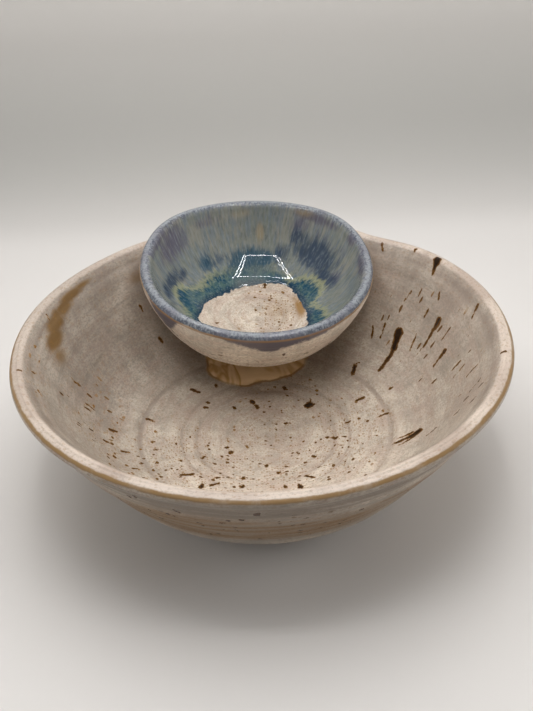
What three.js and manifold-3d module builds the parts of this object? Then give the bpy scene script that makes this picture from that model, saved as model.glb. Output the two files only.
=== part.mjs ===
// A chip and dip server in hand-thrown stoneware: a wide chip bowl with a small dip bowl let into
// a cut-out at the back of its wall, and the two beads of luting clay that join them.
// Millimetres, +Z up. The origin is at the table, in the middle of the object's footprint.
import * as THREE from 'three';
import { mergeVertices } from 'three/addons/utils/BufferGeometryUtils.js';
import Module from 'manifold-3d';

// ---- Driving dimensions ----
const CHIP_RIM_RADIUS = 135;      // outside of the chip bowl's rim
const CHIP_HEIGHT = 92;           // table to the top of the chip bowl's rim
const DIP_RIM_RADIUS = 71;        // outside of the dip bowl's rim
const DIP_SET_BACK = 77;          // from the chip bowl's axis back to the middle of the dip bowl's rim
const DIP_RIM_LIFT = 1;           // middle of the dip bowl's rim above the chip bowl's rim
const DIP_LEAN_FORWARD = 7.4;     // degrees that the dip bowl leans towards the front
const DIP_LEAN_SIDE = 3.1;        // degrees that it leans to the right
const INSIDE_BEAD_RADIUS = 5;     // luting clay in the corner between the two bowls, inside
const OUTSIDE_BEAD_RADIUS = 5;    // and outside
const BEAD_TOP_DROP = 7;          // the beads stop this far below the chip bowl's rim
const FIT_GAP = 0.3;              // between a cut piece and its neighbour

const CHIP_SEGMENTS = 64;
const DIP_SEGMENTS = 48;
const CURVE_STEPS = 1.5;          // straight steps for each span of a smoothed outline
const BEAD_STEPS = 30;
const BEAD_SIDES = 8;

// ---- Outlines, as [radius, height] pairs in units of the rim radius, height 0 at the rim ----
// Inside of the bowl from the middle of its floor up to the lip.
const CHIP_INSIDE = [
  [0, -0.51], [0.17, -0.506], [0.35, -0.488], [0.52, -0.457], [0.63, -0.41], [0.715, -0.34],
  [0.785, -0.25], [0.845, -0.155], [0.9, -0.07], [0.936, -0.022],
];
const CHIP_LIP = [[0.955, -0.004], [0.972, 0], [0.99, -0.006], [1, -0.022], [0.993, -0.042]];
// Outside from under the lip down to the foot.
const CHIP_OUTSIDE = [
  [0.972, -0.06], [0.948, -0.1], [0.902, -0.185], [0.822, -0.3], [0.735, -0.42], [0.643, -0.52],
  [0.56, -0.59], [0.475, -0.63],
];
// Trimmed foot ring and the recess inside it, back to the axis.
const TABLE = -CHIP_HEIGHT / CHIP_RIM_RADIUS;
const CHIP_FOOT = [
  [0.446, -0.645], [0.44, TABLE + 0.006], [0.433, TABLE], [0.385, TABLE], [0.378, TABLE + 0.006],
  [0.362, -0.61], [0.33, -0.59], [0.16, -0.577], [0, -0.572],
];

const DIP_INSIDE = [
  [0, -0.6], [0.2, -0.597], [0.36, -0.58], [0.52, -0.53], [0.66, -0.44], [0.77, -0.32],
  [0.84, -0.2], [0.885, -0.09], [0.905, -0.03],
];
const DIP_LIP = [[0.925, -0.006], [0.952, 0], [0.98, -0.01], [1, -0.04], [0.997, -0.07]];
const DIP_OUTSIDE = [
  [0.985, -0.12], [0.955, -0.2], [0.9, -0.32], [0.82, -0.45], [0.705, -0.575], [0.56, -0.66],
  [0.43, -0.695],
];
const DIP_FOOT = [[0.4, -0.7], [0, -0.7]];

// ---- Outlines to solids ----
const wasm = await Module();
wasm.setup();

function smooth(points) {
  const curve = new THREE.SplineCurve(points.map(([r, z]) => new THREE.Vector2(r, z)));
  return curve.getPoints(Math.round((points.length - 1) * CURVE_STEPS));
}

// The whole outline of a bowl, from the middle of its floor round the lip to the middle of its base.
function bowlOutline(inside, lip, outside, foot, scale) {
  const corners = lip.concat([outside[0]]).map(([r, z]) => new THREE.Vector2(r, z));
  const wall = smooth(outside);
  const outline = [...smooth(inside), ...corners, ...wall.slice(1)];
  outline.push(...foot.map(([r, z]) => new THREE.Vector2(r, z)));
  return outline.map((point) => new THREE.Vector2(Math.max(point.x, 0), point.y).multiplyScalar(scale));
}

// Turns an outline that runs from the axis back to the axis about +Z.
function turned(outline, segments) {
  const geometry = new THREE.LatheGeometry(outline.slice().reverse(), segments);
  geometry.rotateX(Math.PI / 2);
  return geometry;
}

function toSolid(geometry) {
  const bare = geometry.clone();
  bare.deleteAttribute('normal');
  bare.deleteAttribute('uv');
  const welded = mergeVertices(bare, 1e-4);
  const corners = Array.from(welded.index.array);
  const kept = [];
  for (let i = 0; i < corners.length; i += 3) {
    const [a, b, c] = corners.slice(i, i + 3);
    if (a !== b && b !== c && c !== a) kept.push(a, b, c);
  }
  return new wasm.Manifold(new wasm.Mesh({
    numProp: 3,
    vertProperties: new Float32Array(welded.attributes.position.array),
    triVerts: new Uint32Array(kept),
  }));
}

function toGeometry(solid) {
  const mesh = solid.getMesh();
  const geometry = new THREE.BufferGeometry();
  geometry.setAttribute('position', new THREE.BufferAttribute(mesh.vertProperties, mesh.numProp));
  geometry.setIndex(new THREE.BufferAttribute(mesh.triVerts, 1));
  geometry.computeVertexNormals();
  return geometry;
}

// Where the dip bowl's own frame sits: its rim's middle, leaning forward and to the side.
const dipPlace = new THREE.Matrix4().makeRotationFromEuler(new THREE.Euler(
  THREE.MathUtils.degToRad(DIP_LEAN_FORWARD), THREE.MathUtils.degToRad(DIP_LEAN_SIDE), 0));
dipPlace.setPosition(0, DIP_SET_BACK, CHIP_HEIGHT + DIP_RIM_LIFT);

// The dip bowl's outside as [radius, height], from its rim down to the axis.
const dipSkin = [
  ...DIP_LIP.slice(3).map(([r, z]) => new THREE.Vector2(r, z)),
  ...smooth(DIP_OUTSIDE),
  ...DIP_FOOT.map(([r, z]) => new THREE.Vector2(r, z)),
].map((point) => point.multiplyScalar(DIP_RIM_RADIUS));

// The outline moved outwards by a gap, with its ends kept on the axis if they are there.
function grow(outline, gap) {
  const last = outline.length - 1;
  return outline.map((point, i) => {
    const before = outline[Math.max(i - 1, 0)];
    const after = outline[Math.min(i + 1, last)];
    const along = after.clone().sub(before).normalize();
    const radius = point.x === 0 ? 0 : point.x - along.y * gap;
    return new THREE.Vector2(radius, point.y + along.x * gap);
  });
}

// The dip bowl filled in, grown outwards by a gap and carried up past its rim, to cut with.
function dipCutter(gap) {
  const headroom = 20;
  const grown = grow(dipSkin, gap);
  const outline = [new THREE.Vector2(0, headroom), new THREE.Vector2(grown[0].x, headroom), ...grown];
  return toSolid(turned(outline, DIP_SEGMENTS).applyMatrix4(dipPlace));
}

function chipOutline() {
  const outline = bowlOutline(CHIP_INSIDE, CHIP_LIP, CHIP_OUTSIDE, CHIP_FOOT, CHIP_RIM_RADIUS);
  return outline.map((point) => new THREE.Vector2(point.x, point.y + CHIP_HEIGHT));
}

// The chip bowl's uncut wall, thickened by a gap on both sides, to cut the beads with.
function chipWallCutter(gap) {
  return toSolid(turned(grow(chipOutline(), gap), CHIP_SEGMENTS));
}

// One face of the chip bowl's wall as [radius, height] above the table.
function chipFace(points) {
  return smooth(points).map((point) => (
    new THREE.Vector2(point.x * CHIP_RIM_RADIUS, point.y * CHIP_RIM_RADIUS + CHIP_HEIGHT)));
}

// ---- Where the dip bowl's skin passes through one face of the chip bowl's wall ----
function wallRadius(face, height) {
  const top = face[0].y > face[face.length - 1].y ? face[0] : face[face.length - 1];
  if (height > top.y) return top.x;
  for (let i = 1; i < face.length; i += 1) {
    const [low, high] = [face[i - 1], face[i]].sort((a, b) => a.y - b.y);
    if (height >= low.y && height <= high.y) {
      const share = (height - low.y) / (high.y - low.y || 1);
      return low.x + (high.x - low.x) * share;
    }
  }
  return null;
}

// A point on the dip bowl's skin: turn is 0 at its back, s counts along its outline from the rim.
function skinPoint(turn, s) {
  const i = Math.min(Math.floor(s), dipSkin.length - 2);
  const flat = dipSkin[i].clone().lerp(dipSkin[i + 1], s - i);
  const point = new THREE.Vector3(flat.x * Math.sin(turn), flat.x * Math.cos(turn), flat.y);
  return point.applyMatrix4(dipPlace);
}

function isInsideWall(face, point) {
  const radius = wallRadius(face, point.z);
  return radius !== null && Math.hypot(point.x, point.y) < radius;
}

// The crossing runs down one side of the dip bowl, under its back, and up the other side.
function crossing(face) {
  const levels = 300;
  const halvings = 30;
  const sides = { left: [], right: [] };
  for (let k = 0; k <= levels; k += 1) {
    const s = (dipSkin.length - 1) * (k / levels);
    if (isInsideWall(face, skinPoint(0, s))) break;
    for (const [side, sign] of [['left', -1], ['right', 1]]) {
      let [outer, inner] = [0, sign * Math.PI];
      if (!isInsideWall(face, skinPoint(inner, s))) continue;
      for (let i = 0; i < halvings; i += 1) {
        const middle = (outer + inner) / 2;
        if (isInsideWall(face, skinPoint(middle, s))) inner = middle;
        else outer = middle;
      }
      const point = skinPoint(inner, s);
      if (point.z < CHIP_HEIGHT - BEAD_TOP_DROP) sides[side].push(point);
    }
  }
  return [...sides.left, ...sides.right.reverse()];
}

// A bead is a round coil of clay laid along the crossing, less both bowls.
function bead(face, radius) {
  const found = new THREE.CatmullRomCurve3(crossing(face));
  const path = new THREE.CatmullRomCurve3(found.getSpacedPoints(BEAD_STEPS / 2));
  const section = new THREE.Shape();
  section.absarc(0, 0, radius, 0, Math.PI * 2);
  const coil = new THREE.ExtrudeGeometry(section, {
    steps: BEAD_STEPS, curveSegments: BEAD_SIDES, bevelEnabled: false, extrudePath: path,
  });
  const trimmed = toSolid(coil).subtract(dipCutter(FIT_GAP)).subtract(chipWallCutter(FIT_GAP));
  const bodies = trimmed.decompose().sort((a, b) => b.volume() - a.volume());
  return toGeometry(bodies[0]);
}

// ---- Pieces ----
const creamGlaze = { color: 0xcfc2b4, roughness: 0.35, metalness: 0 };
const blueGlaze = { color: 0x6f8088, roughness: 0.2, metalness: 0 };

const server = new THREE.Group();

function addPiece(name, geometry, finish) {
  const mesh = new THREE.Mesh(geometry, new THREE.MeshStandardMaterial(finish));
  mesh.name = name;
  server.add(mesh);
  return mesh;
}

const chipSolid = toSolid(turned(chipOutline(), CHIP_SEGMENTS)).subtract(dipCutter(FIT_GAP));
addPiece('chip_bowl', toGeometry(chipSolid), creamGlaze);

const dipOutline = bowlOutline(DIP_INSIDE, DIP_LIP, DIP_OUTSIDE, DIP_FOOT, DIP_RIM_RADIUS);
addPiece('dip_bowl', turned(dipOutline, DIP_SEGMENTS).applyMatrix4(dipPlace), blueGlaze);

const insideFace = chipFace(CHIP_INSIDE);
const outsideFace = chipFace([...CHIP_LIP.slice(-1), ...CHIP_OUTSIDE]);
addPiece('inside_seam', bead(insideFace, INSIDE_BEAD_RADIUS), creamGlaze);
addPiece('outside_seam', bead(outsideFace, OUTSIDE_BEAD_RADIUS), creamGlaze);

// The origin goes to the table, under the middle of the whole object.
const reach = new THREE.Box3().setFromObject(server);
server.position.set(-(reach.min.x + reach.max.x) / 2, -(reach.min.y + reach.max.y) / 2, -reach.min.z);

export default server;
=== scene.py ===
# A hand-thrown stoneware chip and dip server: a wide bowl in speckled oatmeal glaze, and a small
# bowl with a streaked blue glaze inside, let into the back of its wall. Metres, in the CAD frame.
import math

import bmesh
import bpy
import numpy as np
from mathutils import Matrix, Vector


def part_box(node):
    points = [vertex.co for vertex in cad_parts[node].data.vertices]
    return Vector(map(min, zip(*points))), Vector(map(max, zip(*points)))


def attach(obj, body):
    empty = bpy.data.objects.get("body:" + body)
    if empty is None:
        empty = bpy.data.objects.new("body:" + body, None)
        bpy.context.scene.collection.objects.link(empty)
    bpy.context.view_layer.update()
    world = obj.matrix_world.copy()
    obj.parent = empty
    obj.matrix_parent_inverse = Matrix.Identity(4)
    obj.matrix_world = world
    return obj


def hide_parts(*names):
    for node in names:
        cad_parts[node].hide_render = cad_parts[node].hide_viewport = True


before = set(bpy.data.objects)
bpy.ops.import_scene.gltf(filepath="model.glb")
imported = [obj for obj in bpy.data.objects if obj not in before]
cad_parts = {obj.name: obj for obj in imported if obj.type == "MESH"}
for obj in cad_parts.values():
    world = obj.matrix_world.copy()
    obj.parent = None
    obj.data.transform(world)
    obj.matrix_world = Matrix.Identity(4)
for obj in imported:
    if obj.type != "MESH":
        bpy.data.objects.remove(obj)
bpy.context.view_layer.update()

# ---- Measures from the frame ----
MM = 0.001
chip_low, chip_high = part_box("chip_bowl")
dip_low, dip_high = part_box("dip_bowl")
RIM_RADIUS = (chip_high.x - chip_low.x) / 2
RIM_HEIGHT = chip_high.z
CHIP_AXIS = Vector(((chip_low.x + chip_high.x) / 2, chip_low.y + RIM_RADIUS, 0))
CHIP_PLACE = Matrix.Translation(CHIP_AXIS + Vector((0, 0, RIM_HEIGHT)))
TABLE = -RIM_HEIGHT / RIM_RADIUS

LEAN_FORWARD = math.radians(7.4)
LEAN_SIDE = math.radians(3.1)
LEAN = math.acos(math.cos(LEAN_FORWARD) * math.cos(LEAN_SIDE))
DIP_RADIUS = (dip_high.x - dip_low.x) / 2 / math.cos(LEAN_SIDE)

# ---- Outlines, as [radius, height] in units of the rim radius, height 0 at the rim ----
CHIP_INSIDE = [
    (0, -0.51), (0.17, -0.506), (0.35, -0.488), (0.52, -0.457), (0.63, -0.41), (0.715, -0.34),
    (0.785, -0.25), (0.845, -0.155), (0.9, -0.07), (0.936, -0.022),
]
CHIP_LIP = [(0.955, -0.004), (0.972, 0), (0.99, -0.006), (1, -0.022), (0.993, -0.042)]
CHIP_OUTSIDE = [
    (0.972, -0.06), (0.948, -0.1), (0.902, -0.185), (0.822, -0.3), (0.735, -0.42), (0.643, -0.52),
    (0.56, -0.59), (0.475, -0.63),
]
CHIP_FOOT = [
    (0.446, -0.645), (0.441, TABLE + 0.01), (0.434, TABLE + 0.001), (0.41, TABLE), (0.384, TABLE + 0.001),
    (0.377, TABLE + 0.01), (0.362, -0.61), (0.33, -0.59), (0.16, -0.577), (0, -0.572),
]
DIP_INSIDE = [
    (0, -0.6), (0.2, -0.597), (0.36, -0.58), (0.52, -0.53), (0.66, -0.44), (0.77, -0.32),
    (0.84, -0.2), (0.885, -0.09), (0.905, -0.03),
]
DIP_LIP = [(0.925, -0.006), (0.952, 0), (0.98, -0.01), (1, -0.04), (0.997, -0.07)]
DIP_LIP_TOP = DIP_LIP[1][0]
DIP_OUTSIDE = [
    (0.985, -0.12), (0.955, -0.2), (0.9, -0.32), (0.82, -0.45), (0.705, -0.575), (0.56, -0.66),
    (0.43, -0.695),
]
DIP_FOOT = [(0.4, -0.7), (0.2, -0.7), (0, -0.7)]

DIP_CENTRE = Vector((
    (dip_high.x + dip_low.x) / 2,
    (dip_high.y + dip_low.y) / 2,
    dip_high.z - DIP_LIP_TOP * DIP_RADIUS * math.sin(LEAN),
))
DIP_PLACE = (Matrix.Translation(DIP_CENTRE) @ Matrix.Rotation(LEAN_FORWARD, 4, "X")
             @ Matrix.Rotation(LEAN_SIDE, 4, "Y"))


# ---- Smooth outlines ----
def smooth_line(points, scale):
    """A fine line through the points, by Catmull-Rom spans, in metres."""
    knots = np.array(points, float) * scale
    before = np.vstack([2 * knots[0] - knots[1], knots[:-2]])
    after = np.vstack([knots[2:], 2 * knots[-1] - knots[-2]])
    steps = np.linspace(0, 1, 25)[:-1][:, None]
    line = []
    for p0, p1, p2, p3 in zip(before, knots[:-1], knots[1:], after):
        line.append(0.5 * (2 * p1 + (p2 - p0) * steps + (2 * p0 - 5 * p1 + 4 * p2 - p3) * steps ** 2
                           + (3 * p1 - p0 - 3 * p2 + p3) * steps ** 3))
    return np.vstack(line + [knots[-1:]])


def arc_lengths(line):
    return np.concatenate([[0], np.cumsum(np.hypot(*np.diff(line, axis=0).T))])


def spread(line, count, crowding):
    """The line again with count points, closer together where it bends."""
    along = arc_lengths(line)
    tangent = np.gradient(line, axis=0)
    heading = np.unwrap(np.arctan2(tangent[:, 1], tangent[:, 0]))
    effort = along + crowding * np.concatenate([[0], np.cumsum(np.abs(np.diff(heading)))])
    wanted = np.linspace(0, effort[-1], count)
    at = np.interp(wanted, effort, along)
    return np.stack([np.interp(at, along, line[:, 0]), np.interp(at, along, line[:, 1])], 1)


class Bowl:
    """A turned outline with its own (turn, along) grid. Turn is 0 at the front and grows to the
    right; along is the distance in metres from the middle of the inside floor."""

    def __init__(self, inside, lip, outside, foot, scale, rows, turns, crowding):
        self.line = spread(smooth_line(inside + lip + outside + foot, scale), rows, crowding)
        self.line[0, 0] = self.line[-1, 0] = 0
        self.along = arc_lengths(self.line)
        self.lip_along = self.along[self.line[:, 1].argmax()]
        tangent = np.gradient(self.line, axis=0)
        tangent /= np.linalg.norm(tangent, axis=1)[:, None]
        self.normal = np.stack([-tangent[:, 1], tangent[:, 0]], 1)
        self.turn = np.linspace(-math.pi, math.pi, turns, endpoint=False)
        self.grid_along = self.along[:, None] + 0 * self.turn[None]
        self.grid_turn = self.turn[None] + 0 * self.along[:, None]

    def points(self, lift):
        """Grid positions with each point moved out along the surface normal by lift."""
        radius = self.line[:, :1] + self.normal[:, :1] * lift
        height = self.line[:, 1:] + self.normal[:, 1:] * lift
        radius[0] = radius[-1] = 0
        return np.stack([radius * np.sin(self.turn), -radius * np.cos(self.turn), height], -1)


def closed_mesh(name, points, fields):
    """One closed mesh. Each end of the outline is a single point on the axis."""
    rows, turns = points.shape[:2]
    ring = points[1:-1].reshape(-1, 3)
    verts = np.vstack([points[0].mean(0), ring, points[-1].mean(0)])
    last = len(verts) - 1
    index = 1 + np.arange((rows - 2) * turns).reshape(rows - 2, turns)
    following = np.roll(index, -1, axis=1)
    quads = np.stack([index[:-1], index[1:], following[1:], following[:-1]], -1).reshape(-1, 4)
    floor = [(0, a, b) for a, b in zip(index[0], following[0])]
    base = [(last, b, a) for a, b in zip(index[-1], following[-1])]
    mesh = bpy.data.meshes.new(name)
    mesh.from_pydata(verts.tolist(), [], quads.tolist() + floor + base)
    for key, values in fields.items():
        packed = np.concatenate([values[:1].mean(1), values[1:-1].reshape(-1, *values.shape[2:]),
                                 values[-1:].mean(1)]).astype(np.float32)
        kind = "FLOAT_VECTOR" if packed.ndim == 2 else "FLOAT"
        attribute = mesh.attributes.new(key, kind, "POINT")
        attribute.data.foreach_set("vector" if packed.ndim == 2 else "value", packed.ravel())
    mesh.shade_smooth()
    return mesh


def add_object(name, mesh, place=None):
    piece = bpy.data.objects.new(name, mesh)
    bpy.context.scene.collection.objects.link(piece)
    if place is not None:
        mesh.transform(place)
    return piece


# ---- Fields over a bowl's surface ----
# Distances in millimetres that stand for nowhere near an edge, on its two sides
FAR_INSIDE = 30
FAR_OUTSIDE = -30


def bump(x):
    return np.exp(-x ** 2)


def ease(x, low, high):
    t = np.clip((x - low) / (high - low), 0, 1)
    return t * t * (3 - 2 * t)


def around(turn, degrees):
    """Signed angle in degrees from the given direction."""
    return (np.degrees(turn) - degrees + 180) % 360 - 180


def throwing_lines(along, turn, wavelengths, seed):
    """Fine rings left by fingers and ribs: long round the bowl, short across it."""
    rng = np.random.default_rng(seed)
    total = 0 * along
    for wavelength in wavelengths:
        phase, drift, swing = rng.uniform(0, 2 * math.pi, 3)
        wander = 0.9 * np.sin(turn + drift) + 0.5 * np.sin(2 * turn + swing)
        total += np.sin(2 * math.pi * along / (wavelength * MM) + phase + wander)
    return total / len(wavelengths)


def waves(turn, pushes):
    """The sum of smooth swellings round the bowl, each (turn, width, height) in degrees and mm."""
    return sum(height * bump(around(turn, middle) / width) for middle, width, height in pushes)


def push_rim(points, radius, reach, outward, upward):
    """Moves the rim by the given millimetres, fading to nothing at reach radii below it."""
    high = ease(points[..., 2], -reach * radius, 0)
    points[..., :2] *= (1 + outward * MM * high / radius)[..., None]
    points[..., 2] += upward * MM * high ** 2


def front_pull(turn):
    """1 at the front of the bowl, falling to 0 at the back."""
    return ((1 + np.cos(turn)) / 2) ** 2


# Rings on the chip bowl's floor and wall: distance along at the back, how much further at the
# front, width and height, all in millimetres. A negative height is a groove.
CHIP_RINGS = [
    (22, 2, 2.6, -0.25), (29, 5, 4.5, 0.3), (37, 11, 1.2, -0.75), (41, 10, 3, 0.35), (46, 10, 1.2, -0.65),
    (52, 9, 4, 0.3), (69.5, 11, 1.6, -0.75), (76, 9, 4, 0.35), (95, 4, 4, -0.2), (104, 3, 5, 0.2),
    (117, 0, 6, 0.15), (128, 0, 5, -0.2), (138, 0, 4, -0.15), (147, 0, 3.5, 0.3),
]


def ring_relief(bowl, rings):
    relief = 0 * bowl.grid_along
    for at, further, width, height in rings:
        middle = (at + further * front_pull(bowl.grid_turn)) * MM
        relief += height * MM * bump((bowl.grid_along - middle) / (width * MM))
    return relief


def flow_coordinates(bowl, drum):
    """Coordinates for patterns stretched down the wall: the true place on the floor, turning
    into a drum of the given radius, and the distance along the surface."""
    radius = np.maximum(bowl.line[:, :1], 1e-5)
    radius = (radius ** -6 + drum ** -6) ** (-1 / 6)
    return np.stack([radius * np.sin(bowl.turn), -radius * np.cos(bowl.turn), bowl.grid_along], -1)


def patches(bowl, spots):
    """A soft weight over the surface from (turn, along, turn width, along width, weight) spots, in
    degrees and millimetres. Overlapping spots don't add up past the strongest."""
    weight = 0 * bowl.grid_along
    for turn, along, turn_width, along_width, strength in spots:
        across = around(bowl.grid_turn, turn) / turn_width
        down = (bowl.grid_along / MM - along) / along_width
        weight = np.maximum(weight, strength * bump(across) * bump(down))
    return weight


def edge_round(bowl, stops):
    """A height along the surface, in millimetres, that varies smoothly round the bowl."""
    turns, heights = zip(*stops)
    edge = np.interp(np.degrees(bowl.turn), turns, heights, period=360)
    kernel = np.hanning(13)
    three_rounds = np.convolve(np.tile(edge, 3), kernel / kernel.sum(), "same")
    return three_rounds[None, len(edge):2 * len(edge)]


def mark_field(bowl, marks):
    """Distance in millimetres to the edge of the nearest mark, negative inside one. A mark is
    (low turn, low along, high turn, high along, half width at the low end, half at the high end)."""
    radius = np.abs(bowl.line[:, :1]) / MM
    along = bowl.grid_along / MM
    field = 0 * along + FAR_INSIDE
    for low_turn, low, high_turn, high, thin, thick in marks:
        part = np.clip((along - low) / max(high - low, 0.5), 0, 1)
        across = np.radians(around(bowl.grid_turn, low_turn + (high_turn - low_turn) * part)) * radius
        half = thin + (thick - thin) * part ** 2
        field = np.minimum(field, np.hypot(across, along - low - part * (high - low)) - half)
    return field


# ---- Chip bowl ----
CHIP_DRUM = 80 * MM
CHIP_MARKS = [
    # The long runs and dashes down the right wall
    (119, 83, 121, 100, 1.2, 1.6), (121, 99, 123, 108, 2.2, 3.5), (110, 111, 111, 129, 0.6, 2.2),
    (100, 109, 100.5, 120, 0.6, 1.5), (99.5, 145, 101, 152, 0.4, 1.1), (122, 149, 123, 157, 0.7, 3),
    (140, 152, 141, 156, 0.5, 0.8), (131, 157, 131, 158, 0.7, 0.8), (115.5, 138, 116.5, 142, 0.3, 0.6),
    (117, 125, 117, 130, 0.3, 0.7), (132, 97, 134, 104, 0.5, 0.8), (129, 100, 130, 109, 0.3, 0.6),
    (114, 103, 116, 114, 0.3, 0.5), (105, 122, 105, 131, 0.1, 0.4), (91, 119, 91, 126, 0.2, 0.6),
    (87.5, 118, 88, 128, 0.2, 0.6), (82, 128, 82, 138, 0.2, 0.4), (73, 132, 74, 141, 0.2, 0.4),
    (67.5, 121, 68, 125, 0.4, 0.6), (54, 113, 53, 122, 0.1, 0.5), (68, 98, 69, 106, 0.1, 0.3),
    (127, 127, 126, 134, 0.2, 0.5), (123, 133, 123, 138, 0.2, 0.4), (77, 157, 77, 159, 0.6, 0.9),
    # The large blots low on the right
    (69, 78, 73, 91, 0.9, 2.6), (67, 80, 71, 89, 0.3, 1), (72, 79, 74, 87, 0.3, 0.9),
    (69, 76, 71, 84, 0.2, 0.8), (91, 67, 92, 72, 0.5, 0.8), (106, 79, 106, 81, 0.6, 0.9),
    (128, 71, 130, 75, 1.3, 1.6), (132, 76, 130, 79, 0.3, 0.6), (109, 58, 109, 63, 0.6, 1.2),
    # Spots on the floor
    (128, 33, 128, 35, 2.3, 2.6), (131, 37, 133, 38, 0.8, 0.8), (117, 13.5, 117, 14, 0.9, 0.9),
    (18, 54, 18, 57, 0.9, 1.6), (25, 49, 28, 52, 1, 1.1), (10, 53, 10, 54, 0.8, 0.8),
    (45, 37, 45, 38, 0.9, 0.9), (74, 41, 74, 42, 1.2, 1.2), (74, 36.5, 74, 37.5, 0.6, 0.8),
    (75, 46.5, 75, 47.5, 0.6, 0.8), (91, 48, 92, 49, 0.9, 0.9), (161, 40, 162, 40.5, 1.2, 1.2),
    (-166, 27, -165, 28.5, 1.2, 1.6), (-169, 22.5, -169, 23.5, 1, 1.1), (-141, 28, -141, 29, 0.9, 0.9),
    (-122, 41, -122, 42, 1, 1), (-128, 43, -128, 44, 0.9, 0.9), (-145, 51, -146, 52, 0.9, 0.9),
    (-132, 53, -131, 58, 0.8, 1.2), (-47.5, 27, -47.5, 28, 1.2, 1.2), (-58, 26, -58, 27, 0.9, 0.9),
    (-57, 42, -57, 43.5, 0.6, 0.8), (-0.5, 31.5, -0.5, 32.5, 0.8, 0.8), (8.5, 39, 8.5, 40, 0.8, 0.8),
    (46, 74, 46, 76, 0.7, 0.8), (-46, 57.5, -49, 62.5, 1, 1), (-35.5, 61, -35, 63, 1.1, 1.6),
    (-29.5, 54.5, -32, 58.5, 0.9, 1.1), (-30, 49, -33.5, 50.5, 1, 1), (-17.5, 44, -17.5, 45, 0.9, 0.9),
    (-15, 52, -15.5, 53, 0.9, 1.2),
    # Dashes up the left wall
    (-96, 66, -97, 70, 0.6, 1.1), (-83, 87, -83, 91, 0.7, 1.1), (-74.5, 93, -75, 96, 0.6, 1),
    (-71, 82, -71, 86, 0.6, 0.9), (-73, 63, -73, 66, 0.4, 0.5), (-89, 104, -89, 108, 0.6, 0.9),
    (-94, 116, -94, 119, 0.6, 0.9), (-77, 103.5, -77, 105.5, 0.4, 0.6), (-84, 126, -84, 127.5, 0.6, 0.8),
    (-105, 151, -105.5, 154, 0.3, 0.5), (-82, 148, -82, 149.5, 0.5, 0.7),
    (-79, 157.5, -79, 159, 0.5, 0.6), (-60, 83, -60, 85.5, 0.4, 0.6), (-137, 120, -137, 124, 0.5, 0.8),
    (-138, 97, -138, 100, 0.7, 0.9),
    # Spots on the outside
    (-2.5, 178.5, -2.5, 179, 1.3, 1.3), (-20.5, 183.5, -19.5, 184, 1.1, 1.2),
    (-23, 191, -23, 191.5, 1, 1), (-6, 185, -6, 185.5, 1, 1), (-9, 187, -9, 187.5, 0.9, 1),
    (-31, 181, -31, 181.5, 0.9, 0.9), (-29, 178, -29, 178.5, 0.9, 0.9), (-7, 294, -6, 294.5, 1.3, 1.4),
    (9.7, 216.5, 9.7, 217, 0.9, 1),
]
# Patches as (turn, along, turn width, along width, weight): honey stains, speckle, dashes and rusty bands
CHIP_SPOTS = {
    "stain": [
        (-122, 153, 5, 2, 0.8), (-117, 152, 6, 3, 1), (-111, 149.5, 6, 4, 1), (-106, 147, 6, 5, 1),
        (-101, 142, 6, 6, 0.95), (-98, 134, 5, 7, 0.6), (-140, 140, 4, 5, 0.5), (-112, 112, 8, 6, 0.3),
    ],
    "spread": [
        (0, 45, 75, 26, 1), (-50, 50, 45, 30, 0.9), (60, 45, 60, 26, 0.8), (0, 8, 400, 14, 0.6),
        (150, 40, 40, 18, 0.5), (-75, 95, 30, 28, 0.5), (180, 20, 60, 20, 0.5), (-85, 148, 30, 9, 0.4),
        (90, 60, 30, 15, 0.6), (0, 205, 900, 50, 0.35),
    ],
    "dashes": [
        (105, 118, 34, 26, 1), (72, 135, 18, 18, 0.7), (-85, 105, 24, 28, 0.7), (-55, 72, 26, 18, 0.8),
    ],
    "rusty": [
        (-18, 206, 36, 20, 1), (8, 210, 32, 18, 1), (38, 202, 26, 13, 0.9), (-48, 196, 16, 8, 0.6),
        (170, 200, 50, 12, 0.5), (95, 206, 30, 14, 0.5),
    ],
}
# Painted shade on the inner walls, partly the glaze's own darker colour, and painted light on the floor,
# strongest at the front, as (turn, along, turn width, along width, weight)
CHIP_PAINTED_SHADE = [
    (-112, 146, 34, 22, 1), (-105, 115, 50, 60, 1), (-60, 130, 40, 30, 0.7), (120, 130, 50, 40, 0.3),
    (-150, 70, 40, 30, 0.4),
]
CHIP_PAINTED_LIGHT = [
    (0, 20, 900, 60, 0.3), (0, 60, 55, 26, 1), (45, 75, 30, 24, 0.7), (-35, 75, 25, 20, 0.5),
]
# The honey run that came off the dip bowl's underside: lobes as (x, y, radius) in millimetres from
# the bowl's middle
AMBER_LOBES = [
    (-27, 57, 8), (-21, 51, 7), (-12, 48, 7), (-5, 52, 6), (4, 55, 9), (14, 56, 8), (21, 60, 6),
    (-15, 62, 14),
    (5, 66, 15), (-28, 68, 8), (22, 70, 8), (0, 78, 20),
]


def amber_field(bowl):
    """Distance in millimetres inside the honey run, negative outside it."""
    radius = bowl.line[:, :1] / MM
    x, y = radius * np.sin(bowl.turn), -radius * np.cos(bowl.turn)
    sharp = 0.45
    total = sum(np.exp(sharp * (size - np.hypot(x - at_x, y - at_y))) for at_x, at_y, size in AMBER_LOBES)
    return np.log(total) / sharp


def make_chip_bowl():
    return Bowl(CHIP_INSIDE, CHIP_LIP, CHIP_OUTSIDE, CHIP_FOOT, RIM_RADIUS, 340, 720, 12 * MM)


# How the potter's hands pushed the rim out and up, as (turn, width, mm). Negative is in, or down.
CHIP_OUTWARD = [(146, 11, -4.0), (-149, 12, -0.6), (0, 63.03, -1.4), (112, 26, 1.4), (-112, 26, 1.0)]
CHIP_UPWARD = [(140, 9, -0.3), (152, 4, 1.0), (-146, 10, 0.6), (0, 63.03, 1.2)]


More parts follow.
